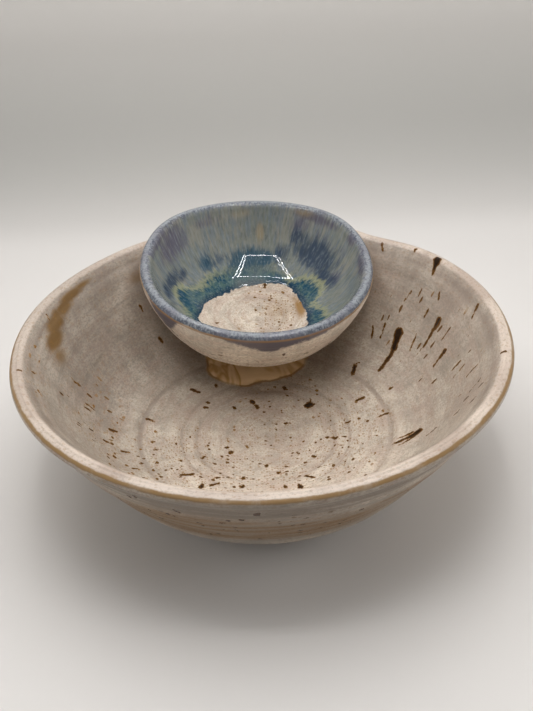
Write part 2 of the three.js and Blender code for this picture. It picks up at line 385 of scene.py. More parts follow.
def chip_relief(bowl, from_lip):
    """Throwing rings and finger lines, smoothed away on the lip. In metres."""
    turn = bowl.grid_turn
    relief = ring_relief(bowl, CHIP_RINGS) * (0.35 + 0.65 * np.abs(np.sin(turn)))
    fine = throwing_lines(bowl.grid_along, turn, (13, 7.3, 4.1, 2.6), seed=3)
    on_wall = ease(bowl.grid_along, 60 * MM, 90 * MM)
    relief += np.where(from_lip < 0, 0.1 + 0.08 * on_wall, 0.33) * MM * fine
    return relief * (1 - bump(from_lip / 5))


def chip_tone_and_painted_light(bowl, from_lip):
    """How light the glaze is: partly its own colour, partly painted light and shade. Painted shade on
    the inner walls, painted light on the floor towards the front, lighter outside but less so at the
    front, painted light bounced from the floor low down outside, and darker just inside the front lip.
    """
    turn = bowl.grid_turn
    tone = 0.77 + 0.36 * patches(bowl, CHIP_PAINTED_LIGHT) - 0.26 * patches(bowl, CHIP_PAINTED_SHADE)
    # Painted light on the outside, weaker at the front where it faces down, and more low down near the foot
    tone += 0.34 * ease(from_lip, 6, 12) * (1 - 0.6 * bump(turn / 0.8)) + 0.2 * ease(from_lip, 70, 95)
    # Darker in a band just inside the lip at the front
    return tone - 0.22 * bump((from_lip + 8) / 4.5) * bump(turn / 1.2)


def chip_greyed(bowl, from_lip):
    """Where the glaze is made greyer: a band just inside the lip, strongest towards the right of the back,
    and up the inside of the back wall round the dip bowl.
    """
    side = ease(np.abs(around(bowl.grid_turn, 120)), 70, 20)
    under_lip = 0.75 * bump((from_lip + 9) / 5) * (0.55 + 0.45 * side)
    back = ease(-np.cos(bowl.grid_turn), -0.2, 0.7)
    return np.maximum(under_lip, 0.6 * ease(from_lip, -60, -12) * back * (from_lip < 0))


def make_chip_mesh(bowl):
    along = bowl.grid_along / MM
    turn = bowl.grid_turn
    from_lip = along - bowl.lip_along / MM
    inner = from_lip < 0
    relief = chip_relief(bowl, from_lip)
    ledge = 0.5 * ease(from_lip, -10, -7) * inner
    amber = np.where(inner, amber_field(bowl), FAR_OUTSIDE)
    pooled = 0.5 * ease(amber, -1, 4) - 0.25 * ease(amber, 3, 12)
    marks = mark_field(bowl, CHIP_MARKS)
    raised = 0.12 * ease(-marks, 0, 1.5)
    belly = 1.5 * bump((from_lip - 95) / 30)
    points = bowl.points(relief + (ledge + pooled + raised + belly) * MM)
    out_of_round = 0.15 * np.sin(2 * turn + 0.6) + 0.15 * np.sin(3 * turn + 2.1)
    uneven = 0.12 * np.sin(3 * turn + 1) + 0.15 * np.sin(5 * turn + 0.3)
    push_rim(points, RIM_RADIUS, 0.45, waves(turn, CHIP_OUTWARD) - out_of_round,
             waves(turn, CHIP_UPWARD) - uneven)
    points[..., 2] = np.maximum(points[..., 2], -RIM_HEIGHT)
    foot_top = bowl.along[bowl.line[:, 1].argmin()] / MM
    fields = {
        "flow": flow_coordinates(bowl, CHIP_DRUM),
        "from_lip": from_lip,
        "relief": relief / MM,
        "marks": marks,
        "amber": amber,
        # The field named thin holds where the glaze is made greyer
        "thin": chip_greyed(bowl, from_lip),
        # tone carries painted light and shade as well as the glaze's own lightness
        "tone": chip_tone_and_painted_light(bowl, from_lip),
        "bare": bump((along - foot_top) / 7),
    }
    for name, spots in CHIP_SPOTS.items():
        fields[name] = patches(bowl, spots)
    return closed_mesh("chip_bowl_clay", points, fields)


# ---- Dip bowl ----
DIP_DRUM = 42 * MM
DIP_RINGS = [
    (13, 0, 2.5, 0.25), (17.5, 0, 1.3, -0.4), (22, 0, 2, 0.3), (26.5, 0, 1.3, -0.3),
]
PATCH_EDGE = [
    (-180, 28.5), (-150, 27), (-130, 28), (-115, 31), (-105, 33), (-95, 34), (-85, 35.5), (-75, 38.5),
    (-30, 34),
    (30, 33), (65, 35), (75, 33.5), (90, 32), (100, 31), (120, 31.5), (135, 33), (145, 33), (160, 31),
    (170, 30),
]
BAND_EDGE = [
    (-180, 42), (-150, 43), (-135, 44), (-120, 42), (-112, 46), (-105, 53), (-98, 55), (-90, 54), (-82, 48),
    (-70, 45), (0, 44), (70, 48), (80, 46), (85, 43), (90, 40), (95, 38), (100, 39), (105, 46), (115, 48),
    (125, 46), (130, 44), (135, 41), (140, 38), (150, 40), (165, 42),
]
BAND_STRENGTH = [
    (-180, 0.15), (-160, 0.15), (-148, 0.5), (-135, 0.75), (-120, 0.8), (-105, 0.95), (-90, 0.9), (-75, 0.6),
    (-50, 0.4), (50, 0.4), (75, 0.9), (100, 0.95), (125, 1), (142, 0.9), (150, 0.4), (170, 0.15),
]
DIP_MARKS = [
    (-70, 26, -70, 26.5, 0.7, 0.7), (180, 4.7, 180, 5.3, 0.7, 0.7), (148, 17, 148, 17.5, 0.5, 0.6),
    (167, 27.5, 167, 29, 0.9, 1.1), (12, 108, 12, 109, 0.7, 0.8), (-56, 106, -48, 112, 0.5, 1),
]
DIP_STAINS = [(105, 14, 70, 18, 0.4), (100, 29, 26, 4, 0.8)]
DIP_SPREAD = [(100, 14, 95, 16, 1.0), (-60, 12, 60, 12, 0.35), (0, 125, 400, 20, 0.4)]
DIP_OUTWARD = [(128, 22, 1.6), (-126, 22, 1.6), (180, 26, -1.2)]
DIP_UPWARD = [(128, 22, 1.5), (-126, 22, 1.5), (180, 26, -0.9)]
DIP_SPOTS = {
    "navy": [
        (-100, 60, 17, 6, 1), (-88, 63, 10, 6, 0.9), (-114, 56, 10, 5, 0.8), (132, 60, 22, 11, 1.2),
        (116, 53, 18, 8, 1.05), (148, 66, 10, 8, 0.85), (158, 54, 9, 9, 0.75), (-75, 58, 12, 6, 0.7),
        (-150, 52, 12, 6, 0.5),
    ],
    "teal": [
        (-95, 43, 24, 8, 1), (-140, 38, 20, 8, 1), (-165, 42, 16, 9, 0.9), (180, 48, 26, 10, 1),
        (160, 36, 18, 6, 0.8), (125, 38, 25, 6, 0.9), (90, 38, 20, 5, 0.9), (-140, 52, 12, 8, 0.7),
        (0, 42, 60, 9, 1), (60, 42, 20, 8, 0.9), (-60, 42, 20, 9, 0.9),
    ],
    "mauve": [
        (108, 57, 12, 7, 0.6), (128, 72, 20, 8, 0.4), (100, 68, 12, 8, 0.35), (-108, 84, 16, 5, 0.9),
        (-118, 74, 18, 12, 0.85), (88, 83, 14, 6, 0.9), (112, 85, 5, 6, 1),
        (140, 82, 20, 5, 0.7), (-150, 78, 16, 7, 0.5), (150, 74, 12, 8, 0.6),
    ],
    "ochre": [(176, 66, 4, 10, 0.9), (-172, 80, 10, 5, 0.6), (150, 84, 8, 4, 0.6), (-130, 86, 10, 3, 0.5)],
}
DRIP_REACH = [
    (-180, -4), (-74, -4), (-64, 4), (-56, 17), (-50, 21), (-45, 12), (-38, 2), (-24, 2), (-14, 7), (-4, 11),
    (2, 15),
    (8, 14), (16, 10), (28, 8), (36, 7), (46, 1), (58, -4),
]


def make_dip_bowl():
    return Bowl(DIP_INSIDE, DIP_LIP, DIP_OUTSIDE, DIP_FOOT, DIP_RADIUS, 260, 480, 8 * MM)


def make_dip_mesh(bowl):
    along = bowl.grid_along / MM
    turn = bowl.grid_turn
    from_lip = along - bowl.lip_along / MM
    inner = from_lip < 0
    fine = throwing_lines(bowl.grid_along, turn, (8.1, 4.7, 3.1), seed=8)
    relief = ring_relief(bowl, DIP_RINGS) + (0.012 + 0.28 * ease(from_lip, 6, 14)) * MM * fine
    relief *= 1 - bump(from_lip / 4)
    patch = np.where(inner, along - edge_round(bowl, PATCH_EDGE), FAR_INSIDE)
    drip = np.where(from_lip > 0, edge_round(bowl, DRIP_REACH) - from_lip, FAR_OUTSIDE)
    pooled = 0.35 * ease(patch, -0.3, 1.6) * ease(from_lip, 0, -20) + 0.3 * ease(drip, -0.6, 1)
    points = bowl.points(relief + pooled * MM)
    outward = waves(turn, DIP_OUTWARD) + 0.15 * np.sin(3 * turn)
    upward = waves(turn, DIP_UPWARD) + 0.12 * np.sin(4 * turn + 2)
    push_rim(points, DIP_RADIUS, 0.5, outward, upward)
    fields = {
        "flow": flow_coordinates(bowl, DIP_DRUM),
        "from_lip": from_lip,
        "relief": relief / MM,
        "patch": patch,
        "band": np.where(inner, along - edge_round(bowl, BAND_EDGE), FAR_INSIDE),
        "band_strength": edge_round(bowl, BAND_STRENGTH) + 0 * along,
        "drip": drip,
        # Lighter outside the lip: painted light on the dip bowl's outside
        "tone": 0.97 + 0.65 * ease(from_lip, 0, 8),
        "stain": patches(bowl, DIP_STAINS),
        "spread": patches(bowl, DIP_SPREAD),
        "marks": mark_field(bowl, DIP_MARKS),
    }
    for name, spots in DIP_SPOTS.items():
        fields[name] = patches(bowl, spots)
    return closed_mesh("dip_bowl_clay", points, fields)


def make_notch_cutter(bowl, depth):
    """The dip bowl's outer skin moved in by depth, filled in and carried up past the rim."""
    skin = bowl.along >= bowl.lip_along
    line = (bowl.line - bowl.normal * depth)[skin][::3]
    line = line[line[:, 0] > depth]
    top = 30 * MM
    outline = np.vstack([[0, top], [line[0, 0], top], line, [0, line[-1, 1]]])
    turn = np.linspace(-math.pi, math.pi, 128, endpoint=False)
    points = np.stack([outline[:, :1] * np.sin(turn), -outline[:, :1] * np.cos(turn),
                       outline[:, 1:] + 0 * turn], -1)
    return add_object("notch_cutter", closed_mesh("notch_cutter", points, {}), DIP_PLACE)


def cut(piece, cutter):
    modifier = piece.modifiers.new("cut", "BOOLEAN")
    modifier.operation = "DIFFERENCE"
    modifier.solver = "MANIFOLD"
    modifier.object = cutter
    bpy.context.view_layer.update()
    evaluated = piece.evaluated_get(bpy.context.evaluated_depsgraph_get())
    mesh = bpy.data.meshes.new_from_object(evaluated)
    piece.modifiers.clear()
    piece.data = mesh


# ---- Seams ----
class ChipSkin:
    """One side of the chip bowl as a surface of revolution, to find where the dip bowl meets it."""

    def __init__(self, bowl, outside):
        line = bowl.line[bowl.along >= bowl.lip_along if outside else bowl.along <= bowl.lip_along]
        low, high = sorted((line[:, 1].argmin(), line[:, 1].argmax()))
        line = line[low:high + 1]
        order = np.argsort(line[:, 1])
        self.heights, self.radii = line[order, 1], line[order, 0]
        self.sign = 1 if outside else -1

    def gap(self, points):
        """How far the points are out of the clay, level with them."""
        here = points - np.array(CHIP_PLACE.translation)
        radius = np.hypot(here[..., 0], here[..., 1])
        return self.sign * (radius - np.interp(here[..., 2], self.heights, self.radii))

    def away(self, points):
        """Unit vectors out of the clay."""
        step = 0.2 * MM
        slopes = [self.gap(points + step * axis) - self.gap(points - step * axis) for axis in np.eye(3)]
        slopes = np.stack(slopes, -1)
        return slopes / np.linalg.norm(slopes, axis=-1, keepdims=True)


def crossing(dip, chip_skin, top):
    """The line below top where the dip bowl's outer skin meets the chip bowl's, down one side and
    up the other, with the dip skin's outward direction at each point."""
    turns = np.linspace(0, 2 * math.pi, 1440, endpoint=False)
    place = np.array(DIP_PLACE)
    circle = np.stack([np.sin(turns), -np.cos(turns)], -1)
    sides = {-1: [], 1: []}
    for along in np.linspace(dip.lip_along, dip.along[-1], 500)[1:-1]:
        radius, height = (np.interp(along, dip.along, dip.line[:, k]) for k in (0, 1))
        out, up = (np.interp(along, dip.along, dip.normal[:, k]) for k in (0, 1))
        ring = np.column_stack([radius * circle, height + 0 * turns]) @ place[:3, :3].T + place[:3, 3]
        facing = np.column_stack([out * circle, up + 0 * turns]) @ place[:3, :3].T
        gap = chip_skin.gap(ring)
        for k in np.nonzero(np.sign(gap[:-1]) != np.sign(gap[1:]))[0]:
            part = gap[k] / (gap[k] - gap[k + 1])
            spot = ring[k] + part * (ring[k + 1] - ring[k])
            if spot[2] < top:
                sides[1 if spot[0] > place[0, 3] else -1].append(np.concatenate([spot, facing[k]]))
    path = np.array(sides[-1] + sides[1][::-1])
    steps = np.concatenate([[0], np.cumsum(np.linalg.norm(np.diff(path[:, :3], axis=0), axis=1))])
    wanted = np.linspace(0, steps[-1], 161)
    path = np.stack([np.interp(wanted, steps, path[:, k]) for k in range(6)], -1)
    kernel = np.hanning(11) / np.hanning(11).sum()
    padded = np.vstack([2 * path[:1] - path[5:0:-1], path, 2 * path[-1:] - path[-2:-7:-1]])
    path = np.stack([np.convolve(padded[:, k], kernel, "valid") for k in range(6)], -1)
    return path[:, :3], path[:, 3:] / np.linalg.norm(path[:, 3:], axis=1)[:, None]


def seam_fields(count, thin, tone):
    """The glaze fields of a seam, the same all over it."""
    fields = {
        "from_lip": -40, "relief": 0.1, "marks": 30, "amber": -30, "stain": 0, "spread": 0.25, "dashes": 0,
        "thin": thin, "bare": 0, "tone": tone,
    }
    return {name: np.full(count, value, np.float32) for name, value in fields.items()}


def make_seam(name, dip, chip_skin, size, thin, tone):
    """A smoothed fillet of clay in the corner between the two skins, sunk a little into both."""
    sunk = 0.9 * MM
    path, dip_out = crossing(dip, chip_skin, RIM_HEIGHT - 3.5 * MM)
    chip_out = chip_skin.away(path)
    tangent = np.gradient(path, axis=0)
    tangent /= np.linalg.norm(tangent, axis=1)[:, None]
    up_dip = np.cross(tangent, dip_out)
    up_dip *= np.sign((up_dip * chip_out).sum(1))[:, None]
    up_chip = np.cross(tangent, chip_out)
    up_chip *= np.sign((up_chip * dip_out).sum(1))[:, None]
    part = np.linspace(0, 1, len(path))
    reach = size * (0.6 + 0.4 * np.sin(math.pi * part) + 0.08 * np.sin(9 * part + 1))[:, None]
    on_dip, on_chip = path + up_dip * reach, path + up_chip * reach
    hollow = path + (up_dip + up_chip) * reach * 0.16
    proud = 0.4 * MM
    edge_dip, edge_chip = on_dip + dip_out * proud, on_chip + chip_out * proud
    rows = [on_dip - dip_out * sunk]
    for t in np.linspace(0, 1, 9):
        rows.append(edge_dip * (1 - t) ** 2 + hollow * 2 * t * (1 - t) + edge_chip * t ** 2)
    rows.append(on_chip - chip_out * sunk)
    rows.append(path - (dip_out + chip_out) * sunk)
    rings = np.stack(rows, 1)
    count, sides = rings.shape[:2]
    index = np.arange(count * sides).reshape(count, sides)
    faces = []
    for k in range(sides):
        j = (k + 1) % sides
        faces += np.stack([index[:-1, k], index[1:, k], index[1:, j], index[:-1, j]], -1).tolist()
    faces += [index[0].tolist(), index[-1][::-1].tolist()]
    mesh = bpy.data.meshes.new(name)
    mesh.from_pydata(rings.reshape(-1, 3).tolist(), [], faces)
    flow = mesh.attributes.new("flow", "FLOAT_VECTOR", "POINT")
    flow.data.foreach_set("vector", rings.reshape(-1).astype(np.float32))
    for key, values in seam_fields(count * sides, thin, tone).items():
        mesh.attributes.new(key, "FLOAT", "POINT").data.foreach_set("value", values)
    mesh.shade_smooth()
    tidy_normals(mesh)
    return add_object(name, mesh)


def tidy_normals(mesh):
    work = bmesh.new()
    work.from_mesh(mesh)
    bmesh.ops.recalc_face_normals(work, faces=work.faces)
    work.to_mesh(mesh)
    work.free()


# ---- Shader building ----
class Shader:
    """A Principled material and short calls that add nodes to it and join them up."""

    def __init__(self, name):
        self.material = bpy.data.materials.new(name)
        self.material.use_nodes = True
        self.tree = self.material.node_tree
        self.surface = self.tree.nodes["Principled BSDF"]

    def feed(self, socket, value):
        if isinstance(value, bpy.types.NodeSocket):
            self.tree.links.new(value, socket)
        elif isinstance(value, tuple) and socket.type == "RGBA":
            socket.default_value = (*value, 1)
        else:
            socket.default_value = value

    def node(self, kind, settings, inputs):
        node = self.tree.nodes.new("ShaderNode" + kind)
        for key, value in settings.items():
            setattr(node, key, value)
        for key, value in inputs.items():
            self.feed(node.inputs[key], value)
        return node

    def math(self, operation, a, b=0.0, c=0.0):
        return self.node("Math", {"operation": operation}, {0: a, 1: b, 2: c}).outputs[0]

    def add(self, a, b):
        return self.math("ADD", a, b)

    def times(self, a, b):
        return self.math("MULTIPLY", a, b)

    def larger(self, a, b):
        return self.math("MAXIMUM", a, b)

    def ease(self, value, low, high, start=0.0, end=1.0):
        """A smooth step from start at low to end at high. Low may be above high."""
        if low > high:
            low, high, start, end = high, low, end, start
        settings = {"interpolation_type": "SMOOTHSTEP"}
        inputs = {"Value": value, "From Min": low, "From Max": high, "To Min": start, "To Max": end}
        return self.node("MapRange", settings, inputs).outputs[0]

    def between(self, value, low, high, soft):
        """1 where value is between low and high, with soft edges."""
        above = self.ease(value, low - soft, low + soft)
        return self.times(above, self.ease(value, high + soft, high - soft))

    def swing(self, value, amount):
        """A noise of about 0 to 1 as a push to both sides, amount from end to end."""
        return self.times(self.add(value, -0.5), amount)

    def mix(self, factor, a, b, blend="MIX"):
        """Colour a where factor is 0 and b where it is 1."""
        settings = {"data_type": "RGBA", "blend_type": blend}
        return self.node("Mix", settings, {"Factor": factor, 6: a, 7: b}).outputs[2]

    def lay(self, colour, over, field, low, high, most=1.0):
        """The colour with another over it as field goes from low to high, up to most."""
        return self.mix(self.ease(field, low, high, 0.0, most), colour, over)

    def tint(self, colour, by):
        return self.mix(1.0, colour, by, "MULTIPLY")

    def vector(self, operation, a, b, c=(0, 0, 0)):
        return self.node("VectorMath", {"operation": operation}, {0: a, 1: b, 2: c}).outputs[0]

    def attribute(self, name):
        return self.node("Attribute", {"attribute_name": name}, {}).outputs["Fac"]

    def place(self, name=None, stretch=(1, 1, 1)):
        """A vector to read patterns at: an attribute, or the object's own coordinates."""
        if name is None:
            vector = self.node("TexCoord", {}, {}).outputs["Object"]
        else:
            vector = self.node("Attribute", {"attribute_name": name}, {}).outputs["Vector"]
        return self.vector("MULTIPLY", vector, stretch)

    def noise(self, vector, grain, detail=3.0, rough=0.55, warp=0.0):
        """Noise from about 0 to 1, with lumps about grain millimetres across."""
        inputs = {"Vector": vector, "Scale": 1 / (grain * MM), "Detail": detail, "Roughness": rough,
                  "Distortion": warp}
        return self.node("TexNoise", {}, inputs).outputs["Fac"]

    def streaks(self, stretch, grain, detail=3.0, rough=0.55, warp=0.0):
        """Noise on the flow coordinates. A stretch under 1 draws it out down the wall."""
        return self.noise(self.place("flow", (1, 1, stretch)), grain, detail, rough, warp)

    def specks(self, vector, spacing, size, share, bend=0.6):
        """Scattered specks: cells spacing apart, of which a share holds one of up to size across.
        All in millimetres. Returns 0 to 1, 1 in the middle of the largest."""
        wobbly = {"Vector": vector, "Scale": 1.3 / (size * MM), "Detail": 1.0}
        wobble = self.node("TexNoise", {}, wobbly).outputs["Color"]
        shift = self.vector("SUBTRACT", wobble, (0.5, 0.5, 0.5))
        bent = self.vector("MULTIPLY_ADD", shift, (bend * size * MM,) * 3, vector)
        cells = self.node("TexVoronoi", {}, {"Vector": bent, "Scale": 1 / (spacing * MM)})
        lot = self.node("SeparateColor", {}, {0: cells.outputs["Color"]}).outputs[0]
        radius = self.ease(lot, 1 - share, 1.0, 0.0, 0.55 * size / spacing)
        depth = self.math("SUBTRACT", radius, cells.outputs["Distance"])
        return self.ease(depth, 0.0, 0.12 * size / spacing)

    def bump(self, height, strength, distance, onto=None):
        inputs = {"Height": height, "Strength": strength, "Distance": distance * MM}
        if onto is not None:
            inputs["Normal"] = onto
        return self.node("Bump", {}, inputs).outputs["Normal"]

    def finish(self, colour, roughness, normal, constants):
        self.feed(self.surface.inputs["Base Color"], colour)
        self.feed(self.surface.inputs["Roughness"], roughness)
        self.feed(self.surface.inputs["Normal"], normal)
        for key, value in constants.items():
            self.surface.inputs[key].default_value = value
        return self.material


# ---- Glazes ----
CREAM = (0.50, 0.42, 0.342)
PALE = (0.63, 0.545, 0.445)
PINK = (0.43, 0.325, 0.26)
ASH = (0.315, 0.265, 0.215)
MAUVE_ASH = (0.30, 0.235, 0.19)
LIP_WHITE = (0.70, 0.585, 0.49)
IRON_LINE = (0.24, 0.145, 0.06)
RUST = (0.21, 0.105, 0.022)
DARK_RUST = (0.085, 0.038, 0.011)
IRON = (0.014, 0.006, 0.002)
HONEY = (0.25, 0.14, 0.05)
BARE_CLAY = (0.36, 0.26, 0.17)
CLAY_DARK = (0.24, 0.16, 0.10)
AMBER = (0.58, 0.35, 0.14)
AMBER_PALE = (0.86, 0.63, 0.37)
AMBER_EDGE = (0.26, 0.135, 0.045)
OUTSIDE_GREY = (0.33, 0.30, 0.26)
OUTSIDE_BROWN = (0.20, 0.155, 0.115)
OUTSIDE_RUST = (0.22, 0.125, 0.05)
GREY_GREEN = (0.155, 0.165, 0.145)
OLIVE = (0.20, 0.195, 0.165)
GREY_BLUE = (0.13, 0.155, 0.172)
NAVY = (0.018, 0.034, 0.064)
TEAL = (0.011, 0.050, 0.082)
DEEP_TEAL = (0.006, 0.024, 0.052)
SEA_GREEN = (0.06, 0.105, 0.095)
MAUVE = (0.085, 0.075, 0.105)
OCHRE = (0.27, 0.20, 0.10)
YELLOW_GREEN = (0.22, 0.225, 0.135)
FROST = (0.235, 0.25, 0.27)
FROST_DARK = (0.055, 0.062, 0.085)
DRIP = (0.17, 0.145, 0.16)
DRIP_DARK = (0.105, 0.09, 0.115)
DRIP_IRON = (0.22, 0.12, 0.045)
STREAK_PALE = (0.26, 0.285, 0.285)
STREAK_DARK = (0.03, 0.04, 0.05)
COOLER = (0.96, 1.02, 1.07)


def oatmeal(s):
    """The speckled oatmeal glaze: its colour and where its iron spots are."""
    here = s.place()
    flow = s.place("flow")
    runs = s.place("flow", (1, 1, 0.3))
    relief = s.attribute("relief")
    from_lip = s.attribute("from_lip")
    cloud = s.noise(here, 30, 5, 0.62)
    colour = s.mix(s.ease(cloud, 0.36, 0.62), CREAM, PALE)
    blush = s.streaks(0.6, 22, 4, 0.6)
    colour = s.lay(colour, PINK, blush, 0.47, 0.68, 0.7)
    veil = s.noise(runs, 8, 5, 0.66)
    colour = s.lay(colour, ASH, veil, 0.42, 0.66, 0.62)
    wiped = s.noise(s.place("flow", (0.3, 0.3, 1)), 4, 4, 0.65)
    colour = s.lay(colour, PINK, wiped, 0.46, 0.62, 0.65)
    colour = s.lay(colour, ASH, wiped, 0.46, 0.34, 0.5)
    grain = s.noise(flow, 1.1, 3, 0.7)
    colour = s.lay(colour, ASH, grain, 0.47, 0.64, 0.7)
    colour = s.lay(colour, PALE, grain, 0.45, 0.32, 0.45)
    # Grooves of the throwing rings darker and ridges paler: partly glaze breaking over them, partly painted
    # shade in the grooves and painted highlight on the ridges
    broken = s.ease(cloud, 0.3, 0.6, 0.3, 1)
    colour = s.mix(s.times(s.ease(relief, -0.12, -0.5, 0, 0.7), broken), colour, MAUVE_ASH)
    colour = s.mix(s.times(s.ease(relief, 0.08, 0.5, 0, 0.4), broken), colour, PALE)
    thin = s.attribute("thin")
    colour = s.mix(s.times(thin, s.ease(veil, 0.3, 0.65, 0.35, 1)), colour, MAUVE_ASH)
    stain = s.times(s.attribute("stain"), s.ease(s.noise(runs, 6, 4), 0.1, 0.45))
    colour = s.lay(colour, HONEY, stain, 0.15, 0.75)
    edge = s.add(from_lip, s.swing(s.noise(flow, 4, 4, 0.6), 1.8))
    worn = s.mix(s.ease(blush, 0.4, 0.62, 0, 0.6), LIP_WHITE, PINK)
    on_lip = s.times(s.between(edge, -3.2, 2.4, 0.9), s.ease(grain, 0.62, 0.48, 0.6, 1))
    colour = s.mix(on_lip, colour, worn)
    # Tone: the glaze's own lightness with painted light and shade mixed in
    tone = s.attribute("tone")
    colour = s.tint(colour, s.node("CombineXYZ", {}, {0: tone, 1: tone, 2: tone}).outputs[0])
    under_lip = s.times(s.between(edge, 2.4, 4.6, 0.4), s.ease(veil, 0.3, 0.55, 0.6, 1))
    colour = s.mix(under_lip, colour, IRON_LINE)

    spread = s.attribute("spread")
    pepper = s.times(s.specks(flow, 1.5, 1.5, 0.85), s.ease(spread, 0, 0.8, 0.25, 1))
    dots = s.times(s.specks(flow, 3.6, 2.4, 0.6), s.ease(spread, 0.1, 0.55))
    dashes = s.specks(s.place("flow", (1, 1, 0.22)), 2.4, 1.3, 0.8)
    dashes = s.times(dashes, s.ease(s.attribute("dashes"), 0.15, 0.6))
    ragged = s.streaks(0.5, 1.8, 3, 0.65)
    marks = s.add(s.attribute("marks"), s.swing(ragged, 2.8))
    mark = s.ease(marks, 0.6, -0.1)
    core = s.ease(marks, -0.35, -1.3)
    colour = s.mix(s.times(pepper, 0.75), colour, RUST)
    colour = s.lay(colour, RUST, dots, 0, 0.5, 0.9)
    colour = s.lay(colour, DARK_RUST, dots, 0.5, 1, 0.75)
    colour = s.lay(colour, RUST, dashes, 0, 0.6, 0.7)
    colour = s.lay(colour, DARK_RUST, dashes, 0.6, 1, 0.8)
    colour = s.mix(s.times(mark, 0.92), colour, RUST)
    colour = s.lay(colour, DARK_RUST, marks, 0.35, -0.3)
    colour = s.mix(core, colour, IRON)
    spots = s.larger(s.larger(dots, dashes), mark)
    return colour, spots


def cream_glaze():
    s = Shader("oatmeal_glaze")
    colour, spots = oatmeal(s)
    here = s.place()
    from_lip = s.attribute("from_lip")
    outside = s.ease(from_lip, 5, 9)
    bands = s.noise(s.place("flow", (0.15, 0.15, 1.5)), 6, 4, 0.62)
    colour = s.mix(s.times(outside, s.ease(bands, 0.44, 0.6, 0, 0.85)), colour, OUTSIDE_GREY)
    under_lip = s.between(from_lip, 7, 26, 6)
    colour = s.mix(s.times(under_lip, s.ease(bands, 0.36, 0.54, 0.1, 0.8)), colour, OUTSIDE_BROWN)
    rusty = s.times(s.ease(s.attribute("rusty"), 0.1, 0.7), s.ease(bands, 0.62, 0.4, 0.5, 0.95))
    colour = s.mix(rusty, colour, OUTSIDE_RUST)
    colour = s.mix(s.times(outside, spots), colour, DARK_RUST)
    amber = s.attribute("amber")
    swirl = s.noise(s.place(stretch=(1, 0.55, 0.55)), 22, 2, 0.5, 1.2)
    lines = s.ease(s.math("PINGPONG", s.times(swirl, 4), 0.5), 0, 0.45)
    run = s.mix(lines, AMBER, AMBER_PALE)
    ragged = s.add(amber, s.swing(s.noise(here, 8, 3), 3))
    colour = s.lay(colour, run, ragged, -0.8, 1.8)
    brown_edge = s.times(s.between(ragged, -0.2, 1.2, 0.6), s.ease(swirl, 0.35, 0.6, 0.2, 0.85))
    colour = s.mix(brown_edge, colour, AMBER_EDGE)
    bare = s.attribute("bare")
    colour = s.mix(bare, colour, s.mix(s.noise(here, 1.6, 3), BARE_CLAY, CLAY_DARK))
    fine = s.noise(here, 0.9, 3, 0.6)
    normal = s.bump(fine, 0.25, 0.12)
    normal = s.bump(s.noise(s.place("flow", (0.2, 0.2, 1)), 2.4, 3), 0.3, 0.25, normal)
    normal = s.bump(spots, 0.5, 0.15, normal)
    gloss = s.ease(fine, 0.3, 0.7, 0.36, 0.5)
    gloss = s.mix(s.ease(amber, 0, 1), gloss, (0.15,) * 3)
    gloss = s.mix(spots, gloss, (0.12,) * 3)
    gloss = s.mix(bare, gloss, (0.8,) * 3)
    return s.finish(colour, gloss, normal, {"IOR": 1.5})


